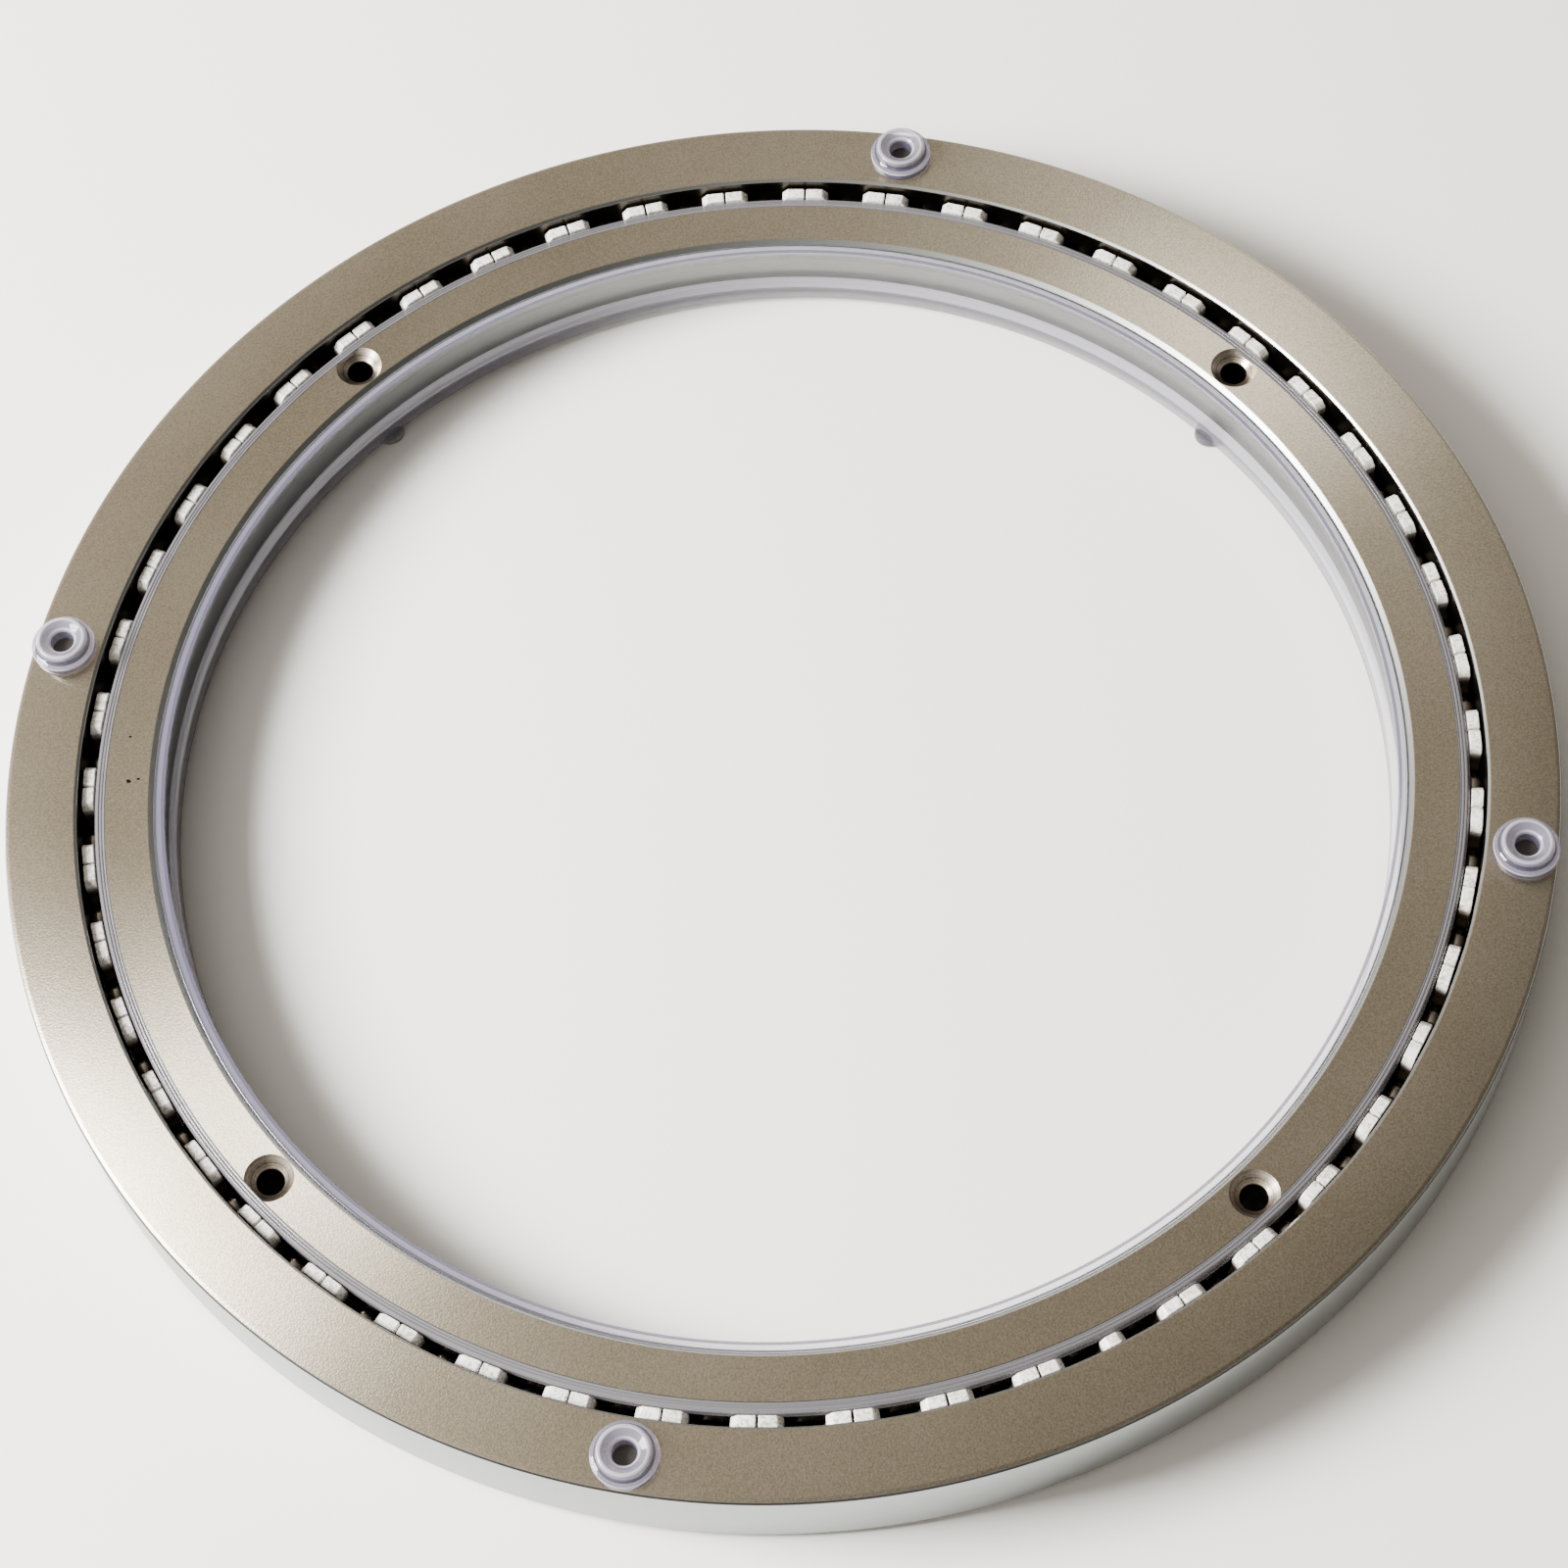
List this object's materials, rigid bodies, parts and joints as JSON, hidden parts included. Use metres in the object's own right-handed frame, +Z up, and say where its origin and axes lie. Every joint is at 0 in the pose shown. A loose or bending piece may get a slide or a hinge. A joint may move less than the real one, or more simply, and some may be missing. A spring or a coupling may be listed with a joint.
{
  "type": "lazy susan bearing",
  "caption": "Flat ring-shaped turntable bearing: an aluminium outer ring turns round a fixed inner ring on caged balls, with countersunk holes, clear bumpers and small clear feet.",
  "frame": {"origin": "centre of the ring on the surface that its feet stand on", "axes": "+Z up along the turning axis; the near side of the picture is -Y, with +X to the right"},
  "size_m": [0.3, 0.3, 0.0245],
  "materials": {
    "satin_champagne_aluminium": "satin",
    "clear_plastic": "clear",
    "white_nylon": "matte",
    "bearing_steel": "polished"
  },
  "bodies": {
    "base": {"inner_ring": "satin_champagne_aluminium", "edge_band": "clear_plastic", "bore_sleeve": "clear_plastic", "foot_1": "clear_plastic", "foot_2": "clear_plastic", "foot_3": "clear_plastic", "foot_4": "clear_plastic"},
    "turntable": {"outer_ring": "satin_champagne_aluminium", "bumper_1": "clear_plastic", "bumper_2": "clear_plastic", "bumper_3": "clear_plastic", "bumper_4": "clear_plastic"},
    "ball_row": {"ball_cage": "white_nylon", "balls": "bearing_steel"}
  },
  "joints": [
    {"name": "turntable_spin", "type": "hinge", "parent": "base", "child": "turntable", "pos_m": [0, 0, 0.0101], "axis": [0, 0, 1], "continuous": true},
    {"name": "cage_orbit", "type": "hinge", "parent": "base", "child": "ball_row", "pos_m": [0, 0, 0.0101], "axis": [0, 0, 1], "continuous": true}
  ],
  "couplings": [
    {"joint": "cage_orbit", "follows": "turntable_spin", "ratio": 0.5083}
  ]
}
